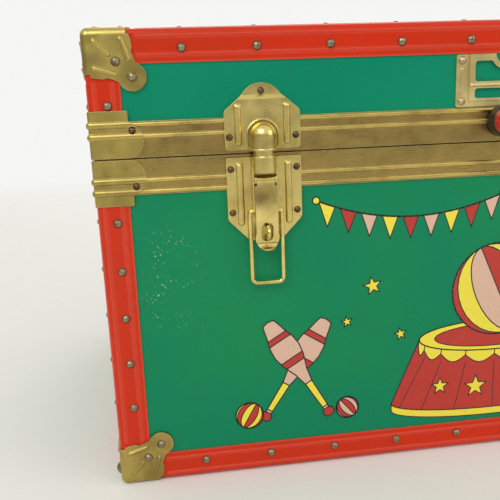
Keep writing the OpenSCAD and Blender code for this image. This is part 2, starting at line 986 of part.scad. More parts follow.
// The padlock staple, a wire arch across the lever's slot
module latch_staple() {
  bend = staple_gap / 2 + staple_r;
  rise = staple_h - bend - staple_r;
  color(brass_colour)
    translate([0, -staple_down, plate_front]) {
      for (y = [-bend, bend])
        translate([0, y, 0])
          cylinder(r = staple_r, h = rise);
      translate([0, 0, rise])
        rotate([0, 90, 0])
          rotate([0, 0, 90])
            rotate_extrude(angle = 180)
              translate([bend, 0])
                circle(r = staple_r);
    }
}

module latch_pin() {
  color(dark_rivet_colour)
    translate([-lever_w / 2 + slack, -pin_down, pin_z])
      rotate([0, 90, 0])
        cylinder(r = pin_r, h = lever_w - 2 * slack);
}

// Side view of the lever: a shallow bow that starts a step below the knuckle, then the outward curl.
// Bow and curl meet where both lean by bow_tilt.
curl_in = lever_curl - lever_t;
curl_y = lever_curl - lever_end;
bow_end_y = curl_y + curl_in * sin(bow_tilt);
bow_end_z = pin_z + knuckle_r - sheet_step;
bow_r = (-pin_down - bow_end_y) / 2 / sin(bow_tilt);

module lever_bow(inset) {
  translate([(bow_end_y - pin_down) / 2, bow_end_z - bow_r * cos(bow_tilt)])
    circle(r = bow_r - inset, $fn = 180);
}

module lever_sheet_side(from_y) {
  far = 2 * lever_curl;
  intersection() {
    difference() {
      lever_bow(0);
      lever_bow(lever_t);
    }
    polygon([
      [bow_end_y + far * sin(bow_tilt), bow_end_z - far * cos(bow_tilt)],
      [bow_end_y - far * sin(bow_tilt), bow_end_z + far * cos(bow_tilt)],
      [from_y, bow_end_z + far], [from_y, bow_end_z - far]
    ]);
  }
}

// The curl is a hair thinner than the bow and starts inside it
module lever_lip_side() {
  far = 2 * lever_curl;
  lap = bow_tilt + 6;
  translate([curl_y, bow_end_z + curl_in * cos(bow_tilt)])
    intersection() {
      difference() {
        circle(r = lever_curl - lip_thinning);
        circle(r = curl_in + lip_thinning);
      }
      polygon([[0, 0], [-far, 0], [-far, -far], [0, -far], far * [sin(lap), -cos(lap)]]);
    }
}

module lever_front() {
  lip_r = lever_w / 2 + 0.6;
  translate([-lever_w / 2, lip_r - lever_end])
    square([lever_w, lever_end - lip_r - pin_down]);
  translate([0, lip_r - lever_end])
    circle(r = lip_r);
}

module lever_slot() {
  r = slot_w / 2;
  translate([-r, -staple_down - slot_len / 2 + r])
    square([slot_w, slot_len - slot_w]);
  for (y = [-1, 1])
    translate([0, y * (slot_len / 2 - r) - staple_down])
      circle(r = r);
}

module bail_bores() {
  translate([-plate_w, -bail_down, bail_z])
    rotate([0, 90, 0])
      cylinder(r = wire_r + pin_gap, h = 2 * plate_w);
}

module latch_lever() {
  knuckle_half = lever_w / 2 - ear_t - side_gap;
  neck_y = -pin_down - knuckle_r - 0.5;
  cheek_low = bail_down + cheek_past_bail;
  color(brass_colour)
    difference() {
      union() {
        intersection() {
          along_face(-plate_w, plate_w)
            lever_sheet_side(neck_y);
          linear_extrude(10 * knuckle_r)
            lever_front();
        }
        intersection() {
          along_face(-plate_w, plate_w)
            lever_lip_side();
          linear_extrude(10 * knuckle_r)
            lever_front();
        }
        along_face(-knuckle_half, knuckle_half) {
          translate([-pin_down, pin_z])
            circle(r = knuckle_r);
          difference() {
            lever_sheet_side(-pin_down);
            translate([-3 * lever_end, 0])
              square([3 * lever_end + neck_y - slack, 2 * lever_end]);
          }
        }
        both_ways()
          along_face(lever_w / 2 - cheek_t, lever_w / 2)
            intersection() {
              translate([-cheek_low, bail_z - arm_half_h])
                square([cheek_low + neck_y, 4 * knuckle_r]);
              lever_bow(lever_t / 2);
            }
      }
      along_face(-plate_w, plate_w)
        translate([-pin_down, pin_z])
          circle(r = pin_r + pin_gap);
      linear_extrude(10 * knuckle_r)
        lever_slot();
      bail_bores();
    }
}

sleeve_r = lever_w / 2 + side_gap + tongue_t;

// Half section of the tongue's head, neck and sleeve, less a sheet's thickness inside
module tongue_section(inset) {
  translate([0, dome_top - dome_r])
    circle(r = dome_r - inset);
  translate([0, dome_low + inset])
    square([dome_r - inset, dome_top - dome_r - dome_low - inset]);
  translate([0, -sleeve_top - inset])
    square([neck_r - inset, dome_low + sleeve_top + 2 * inset]);
  translate([0, -sleeve_low - inset])
    square([sleeve_r - inset, sleeve_low - sleeve_top]);
  if (inset == 0) {
    translate([dome_r - 0.35, dome_low + 0.6])
      circle(r = 0.6);
    translate([sleeve_r - 0.45, -sleeve_top - 0.5])
      circle(r = 0.6);
  }
}

module latch_tongue() {
  color(brass_colour)
    difference() {
      union() {
        translate([0, 0, tongue_back])
          rotate([-90, 0, 0])
            rotate([0, 0, 180])
              rotate_extrude(angle = 180)
                difference() {
                  tongue_section(0);
                  tongue_section(tongue_t);
                  translate([-4 * dome_r, -4 * dome_r])
                    square([4 * dome_r, 8 * dome_r]);
                }
        both_ways()
          along_face(sleeve_r - tongue_t, sleeve_r) {
            translate([-bail_down, bail_z])
              circle(r = arm_half_h);
            translate([-bail_down, bail_z - arm_half_h])
              square([bail_down - sleeve_low + 4, 2 * arm_half_h]);
          }
      }
      bail_bores();
    }
}

// A quarter bend of wire round the origin, from +x to +y
module wire_bend(bend, r) {
  rotate_extrude(angle = 90)
    translate([bend, 0])
      circle(r = r);
}

module wire_x(x0, x1, y, z, r) {
  translate([x0, y, z])
    rotate([0, 90, 0])
      cylinder(r = r, h = x1 - x0);
}

module wire_y(x, y0, y1, z, r) {
  translate([x, y0, z])
    rotate([-90, 0, 0])
      cylinder(r = r, h = y1 - y0);
}

module latch_bail() {
  elbow = 1.9;
  corner = 3.4;
  color(brass_colour) {
    both_ways() {
      wire_x(lever_w / 2 - cheek_t - 0.6, bail_half_w - elbow, -bail_down, bail_z, wire_r);
      translate([bail_half_w - elbow, -bail_down - elbow, bail_z])
        wire_bend(elbow, wire_r);
      wire_y(bail_half_w, corner - bail_end, -bail_down - elbow, bail_z, wire_r);
      translate([bail_half_w - corner, corner - bail_end, bail_z])
        rotate([0, 0, -90])
          wire_bend(corner, wire_r);
    }
    wire_x(corner - bail_half_w, bail_half_w - corner, -bail_end, bail_z, wire_r);
  }
}

module left_latch_lid_plate() at_latch(0) latch_lid_plate();
module left_latch_body_plate() at_latch(0) latch_body_plate();
module left_latch_staple() at_latch(0) latch_staple();
module left_latch_pin() at_latch(0) latch_pin();
module left_latch_lever() at_latch(0) latch_lever();
module left_latch_tongue() at_latch(0) latch_tongue();
module left_latch_bail() at_latch(0) latch_bail();
module right_latch_lid_plate() at_latch(1) latch_lid_plate();
module right_latch_body_plate() at_latch(1) latch_body_plate();
module right_latch_staple() at_latch(1) latch_staple();
module right_latch_pin() at_latch(1) latch_pin();
module right_latch_lever() at_latch(1) latch_lever();
module right_latch_tongue() at_latch(1) latch_tongue();
module right_latch_bail() at_latch(1) latch_bail();

// ---- Hinges ----
// Drawn on the back face like the latches; the pin lies at the height of the joint

hinge_z = plate_back + hinge_knuckle_r;
hinge_front = plate_back + hinge_t;
hinge_knuckle = hinge_w / 5;
hinge_rivet_y = (rail_bead_near + rail_bead_far) / 2;
hinge_rivets_x = [-hinge_w / 3, 0, hinge_w / 3];

module at_hinges() {
  on_side(2)
    for (x = [-hinge_x, hinge_x])
      translate([x, 0, 0])
        children();
}

// A leaf above the joint, with the knuckles of the given numbers from 0 to 4
module hinge_leaf_above(knuckles) {
  clear = hinge_knuckle_r + hinge_gap + 0.2;
  difference() {
    union() {
      translate([-hinge_w / 2, clear, plate_back])
        cube([hinge_w, hinge_leaf - clear, hinge_t]);
      for (k = knuckles)
        along_face(k * hinge_knuckle - hinge_w / 2 + hinge_gap / 2,
          (k + 1) * hinge_knuckle - hinge_w / 2 - hinge_gap / 2) {
          translate([hinge_gap / 2, plate_back])
            square([clear, hinge_t]);
          translate([0, hinge_z])
            circle(r = hinge_knuckle_r);
        }
    }
    along_face(-hinge_w, hinge_w)
      translate([0, hinge_z])
        circle(r = hinge_pin_r + pin_gap);
    for (x = hinge_rivets_x)
      shank_hole([x, hinge_rivet_y]);
  }
}

module hinge_lid_leaves() color(brass_colour) at_hinges() hinge_leaf_above([1, 3]);
module hinge_body_leaves() {
  color(brass_colour)
    at_hinges()
      mirror([0, 1, 0])
        hinge_leaf_above([0, 2, 4]);
}

module hinge_pins() {
  head = 0.8;
  color(dark_rivet_colour)
    at_hinges() {
      wire_x(-hinge_w / 2 - slack, hinge_w / 2 + slack, 0, hinge_z, hinge_pin_r);
      both_ways()
        wire_x(hinge_w / 2 + slack, hinge_w / 2 + head, 0, hinge_z, hinge_pin_r + head);
    }
}

// ---- End handles ----
// Drawn with the origin on the tin, midway between the ears

handle_y = handle_z - seam_z;
handle_axis = grip_r + 1;
handle_ear_r = handle_wire_r + 1.8;
handle_ear_t = 5;
handle_rivets = [for (x = [-1, 1], y = [-1, 1])
  [x * (handle_plate_w / 2 - 6), y * (handle_plate_h / 2 - 6)]];

module at_handle(side) {
  on_side(side)
    translate([0, handle_y, 0])
      children();
}

module handle_plate() {
  r = 6;
  color(brass_colour)
    difference() {
      union() {
        linear_extrude(handle_plate_t)
          rounded_bar(handle_plate_w, handle_plate_h, r);
        ridge([-handle_span / 3, 0], [handle_span / 3, 0], handle_plate_t, 6, 0.8);
        for (x = [-1, 1])
          along_face(x * handle_span / 2 - handle_ear_t / 2, x * handle_span / 2 + handle_ear_t / 2) {
            translate([0, handle_axis])
              circle(r = handle_ear_r);
            translate([-handle_ear_r, handle_plate_t - slack])
              square([2 * handle_ear_r, handle_axis - handle_plate_t]);
          }
      }
      along_face(-handle_plate_w, handle_plate_w)
        translate([0, handle_axis])
          circle(r = handle_wire_r + pin_gap);
      for (p = handle_rivets)
        shank_hole(p);
    }
}

module handle_bail() {
  bend = 2 * handle_wire_r;
  leg = handle_span / 2 - handle_ear_t / 2 - handle_wire_r - 0.8;
  outer = handle_span / 2 + handle_ear_t / 2 + 0.6;
  color(brass_colour)
    difference() {
      union() {
        both_ways() {
          wire_x(leg, outer, 0, handle_axis, handle_wire_r);
          wire_x(outer, outer + 1.2, 0, handle_axis, handle_wire_r + 1.2);
          translate([leg, 0, handle_axis])
            sphere(r = handle_wire_r);
          wire_y(leg, bend - handle_drop, 0, handle_axis, handle_wire_r);
          translate([leg - bend, bend - handle_drop, handle_axis])
            rotate([0, 0, -90])
              wire_bend(bend, handle_wire_r);
        }
        wire_x(bend - leg, leg - bend, -handle_drop, handle_axis, handle_wire_r);
        wire_x(-grip_len / 2, grip_len / 2, -handle_drop, handle_axis, grip_r);
      }
      for (i = [-3:3])
        translate([i * grip_len / 8, -handle_drop, handle_axis])
          rotate([0, 90, 0])
            rotate_extrude()
              translate([grip_r + 0.9, 0])
                circle(r = 1.6);
    }
}

module right_handle_plate() at_handle(1) handle_plate();
module left_handle_plate() at_handle(3) handle_plate();
module right_handle_bail() at_handle(1) handle_bail();
module left_handle_bail() at_handle(3) handle_bail();

// ---- Card holder and pull knob ----

card_front = card_pocket + card_t;
card_rivets = [for (x = [-1, 1], y = [3.6, card_h - 3.6]) [x * (card_w - card_flange + 0.8) / 2, y]];

module rounded_slot(x0, y0, x1, y1, r) {
  translate([(x0 + x1) / 2, (y0 + y1) / 2])
    rounded_bar(x1 - x0, y1 - y0, r);
}

module card_windows() {
  side = card_w / 2 - card_flange - 3.6;
  difference() {
    rounded_slot(-side, 0.48 * card_h, side, card_h - 4.2, 2);
    translate([0, card_h])
      circle(r = 9.4);
  }
  rounded_slot(-side, 5.2, side, 0.35 * card_h, 2);
}

module card_holder() {
  inner = card_w / 2 - card_flange;
  bar_y = 0.415 * card_h;
  color(brass_colour)
    on_side(0)
      translate([0, card_low, 0])
        difference() {
          union() {
            linear_extrude(card_t)
              rounded_slot(-card_w / 2, 0, card_w / 2, card_h, 1.6);
            translate([-inner, 3.4, card_pocket])
              cube([2 * inner, card_h - 3.4, card_t]);
            for (x = [-inner, inner - card_t])
              translate([x, 3.4, 0])
                cube([card_t, card_h - 3.4, card_pocket + slack]);
            translate([-inner, 3.4, 0])
              cube([2 * inner, card_t, card_pocket + slack]);
            ridge([-inner + 1.6, bar_y], [inner - 1.6, bar_y], card_front, 2.4, 0.8);
            for (x = [-1, 1])
              ridge([x * (card_w - card_flange + 0.8) / 2, 9], [x * (card_w - card_flange + 0.8) / 2,
                card_h - 9], card_t, 1.8, 0.6);
          }
          translate([0, 0, -overshoot])
            linear_extrude(3 * card_front)
              card_windows();
          translate([card_t - inner, 3.4 + card_t, -overshoot])
            cube([2 * (inner - card_t), card_h, card_pocket + overshoot]);
          translate([0, card_h, -overshoot])
            cylinder(r = 6.2, h = 3 * card_front);
          for (p = card_rivets)
            shank_hole(p);
        }
}

module at_knob() {
  on_side(0)
    translate([0, knob_up, 0])
      children();
}

module knob_base() {
  top_r = knob_base_r - 1.6;
  color("black")
    at_knob()
      rotate_extrude()
        difference() {
          union() {
            translate([0, bead_peak + slack])
              square([top_r, knob_base_h]);
            translate([top_r, bead_peak + slack])
              square([1.6, knob_base_h - 1.6]);
            translate([top_r, bead_peak + slack + knob_base_h - 1.6])
              circle(r = 1.6);
          }
          translate([-knob_base_r, -knob_base_h])
            square([knob_base_r, 4 * knob_base_h]);
        }
}

module knob_cap() {
  low = bead_peak + knob_base_h + 2 * slack;
  crown = 3.2;
  crown_r = cap_radius(2 * knob_cap_r, crown);
  color("red")
    at_knob()
      intersection() {
        translate([0, 0, low + knob_cap_h - crown_r])
          sphere(r = crown_r, $fn = 128);
        translate([0, 0, low])
          cylinder(r = knob_cap_r, h = knob_cap_h + overshoot);
      }
}

// ---- Rivets ----

// Rivets through the strips and caps of one half of the trunk. up is 1 for the lid, -1 for the box;
// edge is the height of its strip's outer edge; heights are those of the corner strips' rivets.
module edge_rivets(up, edge, heights) {
  color(rivet_colour)
    for (side = [0:3])
      on_side(side) {
        corner_x = half_run(side) + strip_t;
        for (x = strip_rivets_along(side))
          rivet([x, edge - up * strip_rivet_in], strip_t, rivet_d, rivet_h);
        for (x = [-1, 1]) {
          for (z = heights)
            rivet([x * (corner_x - strip_rivet_in), z - seam_z], strip_t, rivet_d, rivet_h);
          cap_rivets(x, corner_x + cap_t, edge + up * cap_t, up);
        }
      }
}

// The two rivets of a cap's face, whose corner lies at x * corner_x and corner_y
module cap_rivets(x, corner_x, corner_y, up) {
  for (at = [cap_rivet_at, cap_lobe_at]) {
    foot = at == cap_rivet_at ? strip_t : 0;
    translate([0, 0, foot])
      rivet([x * (corner_x - at), corner_y - up * at], cap_face_z - foot, rivet_d, rivet_h);
  }
}

module lid_strip_rivets() {
  edge_rivets(1, top_y + strip_t, lid_rivet_heights);
  color(rivet_colour)
    translate([0, 0, top_z]) {
      for (side = [0:3])
        rotate([0, 0, 90 * side])
          for (x = strip_rivets_along(side))
            rivet([x, strip_rivet_in - strip_t - half_face(side)], strip_t, rivet_d, rivet_h);
      for (x = [-1, 1], y = [-1, 1])
        cap_rivets(x, half_l + cap_face_z, y * (half_d + cap_face_z), y);
    }
}

module body_strip_rivets() {
  edge_rivets(-1, base_y - strip_t, body_rivet_heights);
  color(rivet_colour)
    stud_seats()
      rivet_head(stud_d, stud_h);
}

module small_rivet(p, seat) {
  rivet(p, seat, small_rivet_d, small_rivet_h);
}

module clamp_rivets(up) {
  for (side = [0:3])
    on_side(side)
      for (x = [-1, 1])
        small_rivet([x * (half_run(side) + strip_t - clamp_rivet_in), up * clamp_rivet_y], clamp_front);
}

module lid_hardware_rivets() {
  color(dark_rivet_colour) {
    clamp_rivets(1);
    for (i = [0, 1])
      at_latch(i) {
        for (p = lid_plate_rivets)
          small_rivet(p, plate_front);
        small_rivet(lid_plate_top_rivet, plate_t);
      }
    at_hinges()
      for (x = hinge_rivets_x)
        small_rivet([x, hinge_rivet_y], hinge_front);
  }
  color(rivet_colour)
    on_side(0)
      for (p = card_rivets)
        rivet([p[0], p[1] + card_low], card_t, rivet_d - 0.5, rivet_h);
}

module body_hardware_rivets() {
  color(dark_rivet_colour) {
    clamp_rivets(-1);
    for (i = [0, 1])
      at_latch(i)
        for (p = body_plate_rivets)
          small_rivet(p, plate_front);
    at_hinges()
      for (x = hinge_rivets_x)
        small_rivet([x, -hinge_rivet_y], hinge_front);
    for (side = [1, 3])
      at_handle(side)
        for (p = handle_rivets)
          small_rivet(p, handle_plate_t);
  }
}

translate([0, mid_y, 0]) {
  body_floor_board();
  body_front_board();
  body_back_board();
  body_end_boards();
  lid_top_board();
  lid_front_board();
  lid_back_board();
  lid_end_boards();
  body_front_tin();
  body_back_tin();
  body_end_tins();
  body_base_tin();
  lid_top_tin();
  lid_front_tin();
  lid_back_tin();
  lid_end_tins();
  body_lining();
  lid_lining();
  body_dust_lip();
  body_base_strips();
  body_corner_strips();
  lid_top_strips();
  lid_corner_strips();
  lower_corner_caps();
  upper_corner_caps();
  body_rails();
  lid_rails();
  body_rail_clamps();
  lid_rail_clamps();
  left_latch_lid_plate();
  left_latch_body_plate();
  left_latch_staple();
  left_latch_pin();
  left_latch_lever();
  left_latch_tongue();
  left_latch_bail();
  right_latch_lid_plate();
  right_latch_body_plate();
  right_latch_staple();
  right_latch_pin();
  right_latch_lever();
  right_latch_tongue();
  right_latch_bail();
  hinge_body_leaves();
  hinge_lid_leaves();
  hinge_pins();
  left_handle_plate();
  left_handle_bail();
  right_handle_plate();
  right_handle_bail();
  card_holder();
  knob_base();
  knob_cap();
  body_strip_rivets();
  lid_strip_rivets();
  body_hardware_rivets();
  lid_hardware_rivets();
}
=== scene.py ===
"""Small tin trunk: enamelled tin, edge strips and brass-plated fittings, with a printed front."""

import json
import math

import bmesh
import bpy
from mathutils import Matrix, Vector
from mathutils.geometry import tessellate_polygon


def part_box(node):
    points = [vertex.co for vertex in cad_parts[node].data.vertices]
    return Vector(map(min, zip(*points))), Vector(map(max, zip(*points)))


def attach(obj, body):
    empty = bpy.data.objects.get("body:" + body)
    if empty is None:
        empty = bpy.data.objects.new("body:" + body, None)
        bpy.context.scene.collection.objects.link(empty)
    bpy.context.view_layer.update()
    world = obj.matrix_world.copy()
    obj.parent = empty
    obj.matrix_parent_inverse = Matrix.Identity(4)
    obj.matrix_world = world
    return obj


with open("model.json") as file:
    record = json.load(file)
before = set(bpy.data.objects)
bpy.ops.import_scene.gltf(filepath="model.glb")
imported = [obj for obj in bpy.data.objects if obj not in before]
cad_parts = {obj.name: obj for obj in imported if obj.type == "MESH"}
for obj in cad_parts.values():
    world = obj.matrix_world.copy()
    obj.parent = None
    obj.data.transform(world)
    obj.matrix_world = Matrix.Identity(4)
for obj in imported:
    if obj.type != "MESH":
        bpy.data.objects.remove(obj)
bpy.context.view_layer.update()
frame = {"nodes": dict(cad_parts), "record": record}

MM = 0.001


# ---- Colours and nodes ----


def colour(hex_code):
    """A colour written as sRGB hex, turned to the linear values that shaders take."""
    channels = [int(hex_code[i : i + 2], 16) / 255 for i in (1, 3, 5)]
    return [c / 12.92 if c <= 0.04045 else ((c + 0.055) / 1.055) ** 2.4 for c in channels] + [1]


def add(tree, kind, settings=None, **inputs):
    """Adds one node, whose inputs are values or the sockets that feed them.

    An input's name is written with _ for a space, and i0 stands for input number 0.
    """
    made = tree.nodes.new("ShaderNode" + kind)
    for name, value in (settings or {}).items():
        setattr(made, name, value)
    for name, value in inputs.items():
        socket = made.inputs[int(name[1:])] if name[1:].isdigit() else made.inputs[name.replace("_", " ")]
        if isinstance(value, bpy.types.NodeSocket):
            tree.links.new(value, socket)
        else:
            socket.default_value = value
    return made


def new_material(name):
    """An empty material, its node tree and the shaded point's place, in the closed trunk's frame."""
    made = bpy.data.materials.new(name)
    made.use_nodes = True
    tree = made.node_tree
    tree.nodes.clear()
    return made, tree, add(tree, "TexCoord").outputs["Object"]


def surface(tree, **sockets):
    """The Principled shader and the output that close a material."""
    shader = add(tree, "BsdfPrincipled", **sockets)
    add(tree, "OutputMaterial", Surface=shader.outputs["BSDF"])


def noise(tree, position, size, detail=2.0, stretch=(1, 1, 1), rough=0.5):
    """Noise whose patches are size metres across, drawn out along the axes of stretch."""
    scaled = add(tree, "Mapping", Vector=position, Scale=[1 / s for s in stretch])
    return add(
        tree, "TexNoise", Vector=scaled.outputs["Vector"], Scale=0.5 / size, Detail=detail, Roughness=rough
    ).outputs["Fac"]


def between(tree, value, low, high, out_low=0.0, out_high=1.0):
    """Spreads value from low..high to out_low..out_high, smoothly and no further."""
    return add(
        tree, "MapRange", {"interpolation_type": "SMOOTHSTEP"},
        i0=value, i1=low, i2=high, i3=out_low, i4=out_high,
    ).outputs[0]


def maths(tree, operation, *terms):
    """The result of one Math node."""
    sockets = {f"i{i}": term for i, term in enumerate(terms)}
    return add(tree, "Math", {"operation": operation}, **sockets).outputs[0]


def times(tree, a, b):
    return maths(tree, "MULTIPLY", a, b)


def part_of(tree, vector, axis):
    """One of a vector's X, Y and Z."""
    return add(tree, "SeparateXYZ", Vector=vector).outputs[axis]


def mixed(tree, share, first, second):
    """The first colour where share is 0, the second where it is 1."""
    blend = add(tree, "Mix", {"data_type": "RGBA"}, i0=share, i6=first, i7=second)
    return blend.outputs[2]


def edge_mask(tree, radius):
    """1 along edges sharper than radius, 0 on flat faces."""
    soft = add(tree, "Bevel", {"samples": 4}, Radius=radius).outputs["Normal"]
    flat = add(tree, "NewGeometry").outputs["Normal"]
    likeness = add(tree, "VectorMath", {"operation": "DOT_PRODUCT"}, i0=soft, i1=flat).outputs["Value"]
    return between(tree, likeness, 0.99, 0.86)


# ---- Finishes ----


def stoved_enamel(name, main, faded, chip, flecks=None, bead_highlight=None, shine=0.14):
    """Gloss stoving enamel on tinplate: wet-looking, faintly rippled, chipped to primer at edges."""
    made, tree, position = new_material(name)
    fading = between(tree, noise(tree, position, 60 * MM, 3), 0.35, 0.7)
    paint = mixed(tree, fading, colour(main), colour(faded))
    grime = between(tree, noise(tree, position, 9 * MM, 5, rough=0.7), 0.56, 0.8, 0, 0.16)
    paint = mixed(tree, grime, paint, colour("#3A2A1C"))
    worn = between(tree, noise(tree, position, 2.2 * MM, 4), 0.52, 0.6)
    bare = times(tree, edge_mask(tree, 0.7 * MM), worn)
    if flecks:
        # Chips the size of sand grains, in a worn patch round a centre
        centre, reach = flecks
        away = position
        for operation, by in (("SUBTRACT", centre), ("DIVIDE", reach)):
            away = add(tree, "VectorMath", {"operation": operation}, i0=away, i1=by).outputs[0]
        away = add(tree, "VectorMath", {"operation": "LENGTH"}, i0=away).outputs["Value"]
        patch = between(tree, away, 1.0, 0.2)
        cluster = between(tree, noise(tree, position, 8 * MM, 2), 0.45, 0.62)
        grain = between(tree, noise(tree, position, 0.75 * MM, 1), 0.66, 0.7)
        chips = times(tree, times(tree, patch, cluster), grain)
        bare = maths(tree, "MAXIMUM", bare, chips)
    paint = mixed(tree, bare, paint, colour(chip))
    if bead_highlight:
        # Painted highlight: a strip's beads are painted lighter than the flat bands between them
        bead_highlight_share = between(tree, edge_mask(tree, 2.2 * MM), 0.08, 0.7, 0, 0.6)
        paint = mixed(tree, bead_highlight_share, paint, colour(bead_highlight))
    ripple = noise(tree, position, 5 * MM, 2)
    scuffs = between(tree, noise(tree, position, 1.1 * MM, 3, stretch=(14, 14, 1)), 0.58, 0.75)
    bump = add(tree, "Bump", Strength=0.08, Distance=0.3 * MM, Height=ripple)
    gloss = maths(tree, "MULTIPLY_ADD", scuffs, 0.16, 0.3)
    rough = maths(tree, "MULTIPLY_ADD", bare, 0.3, gloss)
    surface(
        tree, Base_Color=paint, Roughness=rough, Normal=bump.outputs["Normal"],
        Specular_IOR_Level=shine, Coat_Weight=shine * 0.4, Coat_Roughness=0.08,
    )
    return made


def plated_brass(name, main, dull, gloss, grain_along=(1, 1, 1), speckle=0.25, shaded_flats=None):
    """Brass plate on pressed steel: a satin sheen, brown tarnish, and pale edges that are partly rubbed
    plating and partly a painted highlight.
    """
    made, tree, position = new_material(name)
    tarnish = between(tree, noise(tree, position, 14 * MM, 5, rough=0.62), 0.4, 0.72, 0, 0.75)
    metal = mixed(tree, tarnish, colour(main), colour(dull))
    if shaded_flats:
        # Painted highlight: a rail's flat bands are painted darker than its two beads, so that the beads
        # show as bright lines
        level = maths(tree, "SUBTRACT", part_of(tree, position, "Z"), JOINT_Z)
        level = maths(tree, "ABSOLUTE", level)
        kept = []
        for bead in RAIL_BEADS:
            away = maths(tree, "ABSOLUTE", maths(tree, "SUBTRACT", level, bead))
            kept.append(between(tree, away, *BEAD_FADE))
        metal = mixed(tree, times(tree, times(tree, kept[0], kept[1]), 0.75), metal, colour(shaded_flats))
    # Rolling grain is finer than 0.1 mm; it is drawn at 0.35 mm so that it shows
    grain = noise(tree, position, 0.35 * MM, 3, stretch=grain_along, rough=0.7)
    spots = between(tree, grain, 0.5, 0.75, 0, speckle)
    metal = mixed(tree, spots, metal, colour("#6E5C36"))
    # Pale edges: rubbed plating, and also a painted highlight along every edge
    metal = mixed(tree, times(tree, edge_mask(tree, 0.5 * MM), 0.6), metal, colour("#E6D9A0"))
    soft = add(tree, "Bevel", {"samples": 4}, Radius=0.35 * MM).outputs["Normal"]
    bump = add(tree, "Bump", Strength=0.12, Distance=0.1 * MM, Height=grain, Normal=soft)
    rough = between(tree, noise(tree, position, 6 * MM, 4), 0.3, 0.75, gloss, gloss + 0.16)
    surface(tree, Base_Color=metal, Metallic=1.0, Roughness=rough, Normal=bump.outputs["Normal"])
    return made


def rivet_steel(name, main, dull, gloss, middle=None):
    """Upset steel rivets: metal stained darker in small random patches, and rougher where stained."""
    made, tree, position = new_material(name)
    stain = between(tree, noise(tree, position, 1.6 * MM, 4, rough=0.65), 0.42, 0.7)
    metal = mixed(tree, stain, colour(main), colour(dull))
    if middle:
        # The card holder's own rivets, in the middle of the front, kept their plating
        across = maths(tree, "ABSOLUTE", part_of(tree, position, "X"))
        near = between(tree, across, CARD_REACH + 5 * MM, CARD_REACH)
        kept = times(tree, near, between(tree, stain, 0, 1, 1, 0.6))
        metal = mixed(tree, kept, metal, colour(middle))
    bump = add(tree, "Bump", Strength=0.2, Distance=0.08 * MM, Height=noise(tree, position, 0.6 * MM, 3))
    rough = between(tree, stain, 0, 1, gloss, gloss + 0.25)
    surface(tree, Base_Color=metal, Metallic=1.0, Roughness=rough, Normal=bump.outputs["Normal"])
    return made


def birch_plywood():
    """Sanded birch plywood: long pale figure and fine open pores."""
    made, tree, position = new_material("sanded birch plywood")
    figure = noise(tree, position, 5 * MM, 5, stretch=(12, 12, 1.2), rough=0.6)
    wood = mixed(tree, between(tree, figure, 0.3, 0.7), colour("#D9BC8C"), colour("#B98F5C"))
    pores = between(tree, noise(tree, position, 0.5 * MM, 2, stretch=(10, 10, 1)), 0.6, 0.72, 0, 0.5)
    wood = mixed(tree, pores, wood, colour("#8A6338"))
    bump = add(tree, "Bump", Strength=0.25, Distance=0.1 * MM, Height=figure)
    surface(tree, Base_Color=wood, Roughness=0.62, Normal=bump.outputs["Normal"])
    return made


def lining_paper():
    """Pasted wallpaper: matt, cream, with a small woven check and a few foxed stains."""
    made, tree, position = new_material("pasted lining paper")
    lines = []
    for direction in ("X", "Y", "Z"):
        wave = add(
            tree, "TexWave", {"bands_direction": direction, "wave_profile": "SIN"},
            Vector=position, Scale=1 / (WAVES_PER_UNIT * CHECK_PITCH), Distortion=0.0,
        ).outputs["Fac"]
        lines.append(between(tree, wave, 0.86, 0.97, 0, 0.45))
    check = maths(tree, "MAXIMUM", maths(tree, "MAXIMUM", lines[0], lines[1]), lines[2])
    paper = mixed(tree, check, colour("#EFE6CC"), colour("#C9A66B"))
    foxing = between(tree, noise(tree, position, 18 * MM, 5, rough=0.7), 0.6, 0.8, 0, 0.4)
    paper = mixed(tree, foxing, paper, colour("#B08D5B"))
    bump = add(tree, "Bump", Strength=0.3, Distance=0.1 * MM, Height=noise(tree, position, 0.8 * MM, 4))
    surface(tree, Base_Color=paper, Roughness=0.85, Normal=bump.outputs["Normal"])
    return made


def moulded_plastic(name, main, dust, gloss):
    """Moulded urea plastic: deep colour under a polished skin, with dust and hairline scratches."""
    made, tree, position = new_material(name)
    dusty = between(tree, noise(tree, position, 3 * MM, 5, rough=0.7), 0.5, 0.8, 0, 0.2)
    skin = mixed(tree, dusty, colour(main), colour(dust))
    scratches = between(tree, noise(tree, position, 0.4 * MM, 2, stretch=(12, 1, 1)), 0.58, 0.7, 0, 0.2)
    rough = maths(tree, "ADD", scratches, gloss)
    soft = add(tree, "Bevel", {"samples": 4}, Radius=0.5 * MM).outputs["Normal"]
    surface(
        tree, Base_Color=skin, Roughness=rough, Normal=soft, IOR=1.5,
        Coat_Weight=0.3, Coat_Roughness=gloss * 0.5,
    )
    return made


def printed_ink(name, main, worn):
    """Screen ink on enamel: flat colour, a little duller than the enamel, thin where it is rubbed."""
    made, tree, position = new_material(name)
    rubbed = between(tree, noise(tree, position, 12 * MM, 5, rough=0.68), 0.52, 0.8, 0, 0.4)
    ink = mixed(tree, rubbed, colour(main), colour(worn))
    pits = between(tree, noise(tree, position, 0.7 * MM, 2), 0.7, 0.74, 0, 0.5)
    ink = mixed(tree, pits, ink, colour("#2C7A55"))
    bump = add(tree, "Bump", Strength=0.08, Distance=0.3 * MM, Height=noise(tree, position, 5 * MM, 2))
    surface(
        tree, Base_Color=ink, Roughness=0.36, Normal=bump.outputs["Normal"],
        Coat_Weight=0.3, Coat_Roughness=0.15,
    )
    return made


